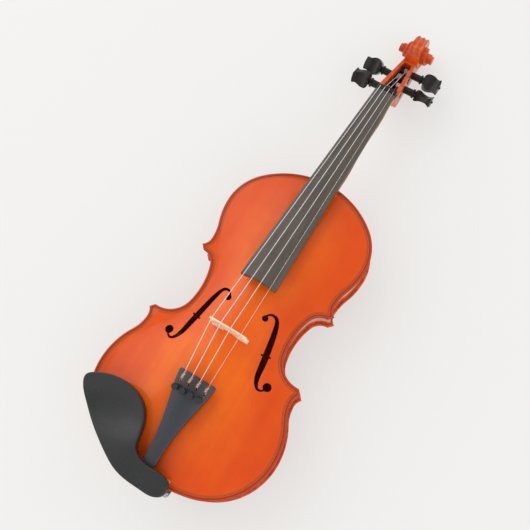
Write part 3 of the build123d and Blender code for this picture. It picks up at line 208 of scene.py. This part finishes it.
def maple(name, flame_scale, coat=0.6, bend=1.5, skew=0.0, pale=False):
    """Flamed maple. flame_scale squeezes the noise so that its stripes lie across the grain, a skew
    leans them to either side of the back's joint, and pale gives the neck's handle the colour of bare
    wood."""
    f = orange_varnish(name, coat, bend)
    place = f.place
    if skew:
        lean = f.math("MULTIPLY", f.math("ABSOLUTE", f.part("X")), skew)
        place = f.node("ShaderNodeCombineXYZ", {"X": f.part("X"), "Y": f.math("ADD", f.part("Y"), lean),
                                                "Z": f.part("Z")}).outputs[0]
    stripes = f.noise(f.stretched(flame_scale, place), 1.0, detail=2.0, distortion=0.4)
    stripes = f.ramp(stripes, (0.38, 0.0), (0.50, 0.5), (0.62, 1.0))
    pores = f.noise(f.stretched((700, 60, 700)), 1.0, detail=2.0)
    colour = f.mix(stripes, (0.80, 0.130, 0.008), (0.52, 0.052, 0.004))
    colour = f.mix(f.ramp(pores, (0.45, 0.0), (0.8, 0.25)), colour, (0.30, 0.030, 0.004))
    colour = patchy(f, colour, (0.44, 0.026, 0.003), 0.55)
    if pale:
        bare = f.mix(stripes, (0.72, 0.42, 0.20), (0.54, 0.28, 0.12))
        past_heel = f.between(f.part("Y"), 0.205, 0.222)
        before_head = f.between(f.part("Y"), 0.332, 0.314)
        handle = f.math("MULTIPLY", past_heel, before_head)
        low = f.between(f.part("Z"), 0.066, 0.060)
        colour = f.mix(f.math("MULTIPLY", handle, low), colour, bare)
    worn = f.math("MULTIPLY", f.near_edge(0.0009), f.noise(f.place, 120.0))
    colour = f.mix(f.math("MULTIPLY", worn, 0.6), colour, (0.22, 0.020, 0.004))
    f.set("Base Color", colour)
    f.bump(pores, 0.00003)
    return f.material


def bare_wood():
    """Unvarnished wood inside the body."""
    f = Finish("bare_wood", Roughness=0.6)
    grain = f.noise(f.stretched((200, 20, 60)), 1.0, detail=3.0)
    f.set("Base Color", f.mix(grain, (0.72, 0.50, 0.28), (0.50, 0.32, 0.16)))
    f.bump(grain, 0.0001)
    return f.material


def ebony(name, colour, streak, roughness, stretch=(160, 9, 160)):
    """Oiled ebony with fine streaks, drawn out along the Y axis unless stretch says otherwise."""
    f = Finish(name, Roughness=roughness, Specular_IOR_Level=0.28)
    pores = f.noise(f.stretched(stretch), 1.0, detail=5.0, roughness=0.65)
    f.set("Base Color", f.mix(f.ramp(pores, (0.35, 0.0), (0.75, 1.0)), colour, streak))
    worn = f.noise(f.place, 40.0, detail=3.0)
    f.set("Roughness", f.spread(worn, roughness - 0.07, roughness + 0.10))
    f.bump(pores, 0.00006)
    return f.material


def composite(name, colour, roughness):
    """Moulded black plastic, its edges rubbed a little brighter."""
    f = Finish(name, Roughness=roughness)
    speckle = f.noise(f.place, 900.0, detail=2.0)
    drift = f.noise(f.place, 30.0, detail=2.0)
    tint = f.mix(drift, colour, tuple(1.35 * c for c in colour))
    tint = f.mix(f.ramp(speckle, (0.4, 0.0), (0.8, 0.12)), tint, (0.14, 0.145, 0.16))
    uneven = f.ramp(f.noise(f.place, 150.0), (0.4, 0.0), (0.7, 0.5))
    rubbed = f.math("MULTIPLY", f.near_edge(0.0006), uneven)
    f.set("Base Color", f.mix(rubbed, tint, (0.10, 0.10, 0.105)))
    f.set("Roughness", f.spread(drift, roughness - 0.06, roughness + 0.08))
    f.bump(speckle, 0.00003)
    return f.material


def metal(name, colour, roughness):
    """Polished metal with dull patches and faint scratches along the Y axis."""
    f = Finish(name, Metallic=1.0, Roughness=roughness)
    marks = f.noise(f.stretched((900, 60, 900)), 1.0, detail=3.0)
    dull = f.noise(f.place, 90.0, detail=3.0)
    darker = tuple(0.72 * c for c in colour)
    f.set("Base Color", f.mix(f.ramp(dull, (0.4, 0.0), (0.8, 0.4)), colour, darker))
    f.set("Roughness", f.spread(marks, roughness * 0.7, roughness * 1.6))
    f.bump(marks, 0.00001)
    return f.material


def wound_string(name, colour, pitch):
    """Flat ribbon wound round the core: fine ridges across the string, with painted shade in the grooves
    between them.
    """
    f = Finish(name, Metallic=1.0, Roughness=0.36)
    ridges = f.bands(f.place, BAND_PERIOD / pitch, axis="Y")
    tarnish = f.noise(f.place, 60.0, detail=3.0)
    # painted shade: the colour is darker in the grooves between the ridges
    tint = f.mix(f.ramp(ridges, (0.0, 0.35), (0.6, 0.0)), colour, tuple(0.6 * c for c in colour))
    f.set("Base Color", f.mix(f.ramp(tarnish, (0.4, 0.0), (0.8, 0.35)), tint, (0.55, 0.50, 0.44)))
    f.bump(ridges, 0.00003)
    return f.material


def thread(name, colour, roughness, pitch, axis):
    """A screw: its thread is a bump along its axis, with painted shade in its grooves."""
    f = Finish(name, Metallic=1.0, Roughness=roughness)
    turns = f.bands(f.along(axis), BAND_PERIOD / pitch)
    oil = f.noise(f.place, 200.0, detail=3.0)
    # painted shade: the colour is darker in the thread's grooves
    tint = f.mix(f.ramp(turns, (0.1, 0.55), (0.7, 0.0)), colour, tuple(0.35 * c for c in colour))
    f.set("Base Color", f.mix(f.ramp(oil, (0.45, 0.0), (0.8, 0.4)), tint, (0.30, 0.26, 0.22)))
    f.bump(turns, 0.00012)
    return f.material


def bridge_maple():
    """Bare maple with short flecks."""
    f = Finish("bridge_maple", Roughness=0.48)
    flecks = f.noise(f.stretched((260, 260, 60)), 1.0, detail=3.0)
    colour = f.mix(f.ramp(flecks, (0.5, 0.0), (0.68, 0.7)), (0.93, 0.76, 0.54), (0.70, 0.48, 0.28))
    broad = f.noise(f.place, 30.0)
    f.set("Base Color", f.mix(f.math("MULTIPLY", broad, 0.35), colour, (0.84, 0.64, 0.41)))
    f.bump(flecks, 0.00005)
    return f.material


def cork():
    f = Finish("cork", Roughness=0.85)
    grains = f.node("ShaderNodeTexVoronoi", {"Vector": f.place, "Scale": 900.0}).outputs["Distance"]
    between_grains = f.ramp(grains, (0.2, 0.0), (0.8, 1.0))
    f.set("Base Color", f.mix(between_grains, (0.58, 0.38, 0.21), (0.30, 0.17, 0.09)))
    f.bump(grains, 0.0002)
    return f.material


def inlay():
    """Three plies: black on both sides of a pale one."""
    f = Finish("purfling", Roughness=0.45, Specular_IOR_Level=0.2, Coat_Weight=0.9, Coat_Roughness=0.08)
    grain = f.noise(f.stretched((900, 900, 900)), 1.0)
    dark = f.mix(grain, (0.045, 0.012, 0.005), (0.11, 0.022, 0.007))
    pale = f.mix(grain, (0.50, 0.12, 0.02), (0.34, 0.065, 0.010))
    f.set("Base Color", f.mix(f.near_edge(0.0005, 0.004, 0.03), pale, dark))
    return f.material


finishes = {
    "top_plate": spruce(),
    "back_plate": maple("back_maple", (9, 120, 9), skew=0.30),
    "rib": maple("rib_maple", (120, 120, 6), coat=1.0, bend=1.9),
    "neck": maple("neck_maple", (12, 130, 30), pale=True),
    "purfling": inlay(),
    "inside": bare_wood(),
    "fingerboard": ebony("fingerboard_ebony", (0.090, 0.076, 0.063), (0.135, 0.105, 0.080), 0.42),
    "ebony": ebony("ebony", (0.010, 0.0095, 0.009), (0.024, 0.020, 0.018), 0.24, (200, 200, 200)),
    "chin": composite("chin_rest_black", (0.013, 0.013, 0.0125), 0.45),
    "tail": composite("tailpiece_black", (0.028, 0.031, 0.038), 0.34),
    "knob": composite("knob_black", (0.020, 0.021, 0.023), 0.30),
    "bridge": bridge_maple(),
    "chrome": metal("chrome", (0.82, 0.83, 0.85), 0.10),
    "brass": metal("brass", (0.80, 0.60, 0.26), 0.22),
    "screw": thread("tuner_screw_thread", (0.78, 0.79, 0.81), 0.2, 0.00045, (0, -0.207, 0.978)),
    "post": thread("clamp_post_thread", (0.80, 0.80, 0.82), 0.18, 0.0007, (0, 0, 1)),
    "string": wound_string("string_silver", (0.80, 0.80, 0.82), 0.0003),
    "steel": metal("string_steel", (0.78, 0.78, 0.80), 0.22),
    "cord": composite("tail_cord", (0.022, 0.022, 0.023), 0.40),
    "cork": cork(),
}
finish_of = {
    "top_plate": "top_plate", "back_plate": "back_plate", "purfling": "purfling",
    "neck_and_scroll": "neck", "fingerboard": "fingerboard", "nut": "ebony", "saddle": "ebony",
    "bridge": "bridge", "tailpiece": "tail", "end_button": "ebony", "chinrest_plate": "chin",
    "chinrest_cork": "cork", "chinrest_foot_cork": "cork", "tailgut": "cord", "string_e": "steel",
    "string_winding_e": "steel",
}
# the first start that fits a node's name counts
finish_of_start = {
    "rib_": "rib", "peg_": "ebony", "string_ball": "brass", "string_": "string",
    "tuner_screw": "screw", "tuner_knob": "knob", "tuner_": "chrome",
    "chinrest_posts": "post", "chinrest_": "chrome", "tailgut_nuts": "brass",
}
for name, node in nodes.items():
    key = finish_of.get(name)
    if key is None:
        fitting = (value for start, value in finish_of_start.items() if name.startswith(start))
        key = next(fitting, "inside")
    node.data.materials.clear()
    node.data.materials.append(finishes[key])

# ---- turns of string on the pegs -----------------------------------------------------------------------
STEPS = 20              # points in a turn
LIFT = 0.0001           # between the turns and the one that lies over them
DROP = 6                # steps in which a string's end goes down beside its turns


def wire(name, width, centre, start, route, body):
    """A wound length of string round an axis along X, through (place along the axis, radius) steps."""
    curve = bpy.data.curves.new(name, "CURVE")
    curve.dimensions = "3D"
    curve.bevel_depth = width / 2
    curve.bevel_resolution = 3
    curve.use_fill_caps = True
    line = curve.splines.new("NURBS")
    line.points.add(len(route) - 1)
    for index, (x, radius) in enumerate(route):
        turn = start - 2 * math.pi * index / STEPS
        y = centre.y + radius * math.cos(turn)
        z = centre.z + radius * math.sin(turn)
        line.points[index].co = (x, y, z, 1)
    line.order_u = 3
    line.use_endpoint_u = True
    curve.materials.append(finishes["steel" if name.endswith("e") else "string"])
    piece = bpy.data.objects.new(name, curve)
    bpy.context.collection.objects.link(piece)
    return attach(piece, body)


def wind_string(string, width):
    """Turns that lie on the peg, and the arriving string's last turn, over them and down beside them."""
    low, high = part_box("string_winding_" + string)
    nut_low, nut_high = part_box("nut")
    centre = (low + high) / 2
    inner = (high.z - low.z) / 2 - width / 2
    outer = inner + width + LIFT
    to_nut = Vector(((nut_low.y + nut_high.y) / 2 - centre.y, nut_high.z - centre.z))
    start = math.atan2(to_nut.y, to_nut.x) - math.acos(outer / to_nut.length)
    room = (high.x - low.x - width) / 2
    inwards = -math.copysign(room, centre.x)
    count = int(2 * room / (1.04 * width)) * STEPS
    turns = [(centre.x + inwards * (1 - 2 * step / count), inner) for step in range(count + 1)]
    piece = wire("string_turns_" + string, width, centre, start, turns, f"peg_{string}_body")
    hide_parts("string_winding_" + string)
    beside = inwards + math.copysign(1.1 * width, inwards)
    last = [(centre.x + beside * min(1, step / STEPS), outer) for step in range(STEPS + 1)]
    last += [(centre.x + beside, outer + (inner - outer) * step / DROP) for step in range(1, DROP + 1)]
    wire("string_end_" + string, width, centre, start, last, "violin")


for string, width in (("g", 0.0008), ("d", 0.0008), ("a", 0.0007), ("e", 0.0003)):
    wind_string(string, width)

# ---- floor, light, camera -----------------------------------------------------------------------------
floor_z = cad_box[0].z - 0.0003
bpy.ops.mesh.primitive_circle_add(vertices=128, radius=2.4, fill_type="NGON", location=(0, 0, floor_z))
floor = bpy.context.object
floor.name = "floor"
f = Finish("floor", Roughness=0.9, Specular_IOR_Level=0.1)
f.set("Base Color", f.mix(f.noise(f.place, 3.0), (0.872, 0.864, 0.848), (0.882, 0.874, 0.858)))
# seen directly or in a reflection, the floor's shadows are lighter, as on an overexposed table
rays = f.node("ShaderNodeLightPath").outputs
seen = f.math("MAXIMUM", rays["Is Camera Ray"], rays["Is Glossy Ray"])
seen = f.math("MAXIMUM", seen, rays["Is Transmission Ray"])
glow = f.node("ShaderNodeEmission", {"Color": (0.888, 0.88, 0.863, 1)})
lit = f.node("ShaderNodeMixShader", {0: f.math("MULTIPLY", seen, 0.62), 1: f.shader.outputs[0],
                                     2: glow.outputs[0]})
f.tree.links.new(lit.outputs[0], f.tree.nodes["Material Output"].inputs["Surface"])
floor.data.materials.append(f.material)

# a light tent, brighter round the sides than overhead
world = bpy.data.worlds.new("studio")
bpy.context.scene.world = world
world.use_nodes = True
tree = world.node_tree
tent = tree.nodes["Background"]
tent.inputs["Strength"].default_value = 1.0
direction = tree.nodes.new("ShaderNodeSeparateXYZ")
tree.links.new(tree.nodes.new("ShaderNodeTexCoord").outputs["Generated"], direction.inputs[0])
# 0 at the sides, 1 straight overhead
height = tree.nodes.new("ShaderNodeMapRange")
height.interpolation_type = "SMOOTHSTEP"
height.inputs["From Min"].default_value = 0.55
height.inputs["From Max"].default_value = 0.98
tree.links.new(direction.outputs["Z"], height.inputs["Value"])
shade = tree.nodes.new("ShaderNodeMix")
shade.data_type = "RGBA"
shade.inputs[6].default_value = (0.945, 0.945, 0.94, 1)
shade.inputs[7].default_value = (0.46, 0.47, 0.48, 1)
tree.links.new(height.outputs[0], shade.inputs[0])
tree.links.new(shade.outputs[2], tent.inputs["Color"])


def softbox(name, place, aim, size, power):
    """A rectangular area light, its size in metres and its power in watts."""
    data = bpy.data.lights.new(name, "AREA")
    data.shape = "RECTANGLE"
    data.size, data.size_y = size
    data.energy = power
    lamp = bpy.data.objects.new(name, data)
    bpy.context.collection.objects.link(lamp)
    lamp.location = place
    lamp.rotation_euler = (Vector(aim) - Vector(place)).to_track_quat("-Z", "Y").to_euler()


softbox("key", (-1.9, 0.7, 1.6), (0, 0.1, 0), (2.8, 2.8), 26)
softbox("fill", (1.7, -1.2, 1.6), (0, 0.1, 0), (2.6, 2.6), 15)

camera = bpy.data.objects.new("camera", bpy.data.cameras.new("camera"))
bpy.context.collection.objects.link(camera)
camera.location = (0.1734, -0.1024, 0.8058)
look = Vector((-0.2289, 0.2309, -0.9457)).normalized()
up = Vector((-0.474, 0.822, 0.315))
side = look.cross(up).normalized()
camera.rotation_euler = Matrix((side, side.cross(look), -look)).transposed().to_euler()
camera.data.sensor_width = 36.0
camera.data.lens = 52.0
bpy.context.scene.camera = camera

bpy.context.scene.view_settings.view_transform = "Standard"
